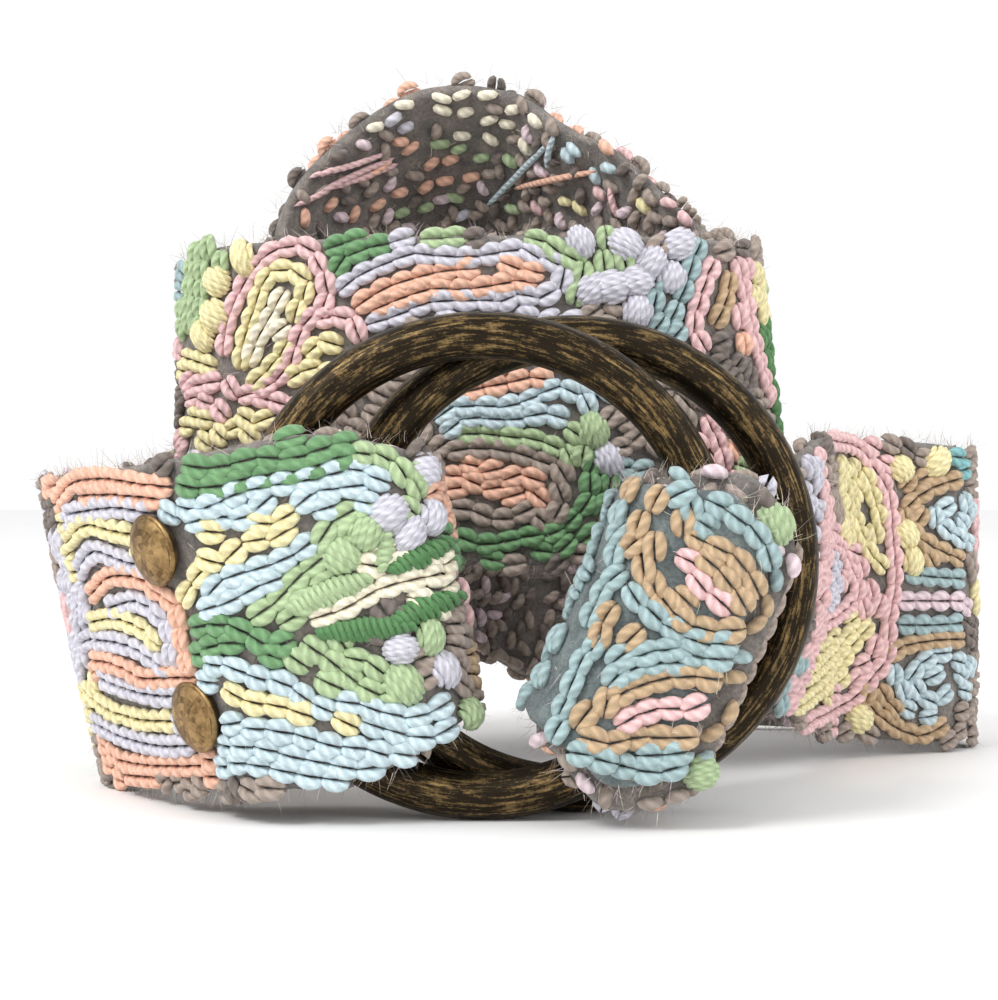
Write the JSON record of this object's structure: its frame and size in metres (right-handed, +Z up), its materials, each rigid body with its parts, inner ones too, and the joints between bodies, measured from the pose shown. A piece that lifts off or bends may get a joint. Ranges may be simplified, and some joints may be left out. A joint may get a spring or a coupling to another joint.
{
  "type": "crocheted belt",
  "caption": "Crocheted wool belt with brass rings, closed and standing on its edge in a loose coil.",
  "frame": {"origin": "middle of the belt's footprint, on the surface that it stands on", "axes": "+Z up, +X along the coil's long way to the right of the rings, -Y to the side with the rings"},
  "size_m": [0.1874, 0.1646, 0.1416],
  "materials": {
    "wool": "fuzzy crochet",
    "slate_yarn": "crochet",
    "aged_brass": "dark patina, rubbed"
  },
  "bodies": {
    "root": {"strap": "wool", "end_facing": "slate_yarn", "ring_front": "aged_brass", "ring_back": "aged_brass", "rivet_upper": "aged_brass", "rivet_lower": "aged_brass"}
  },
  "joints": []
}
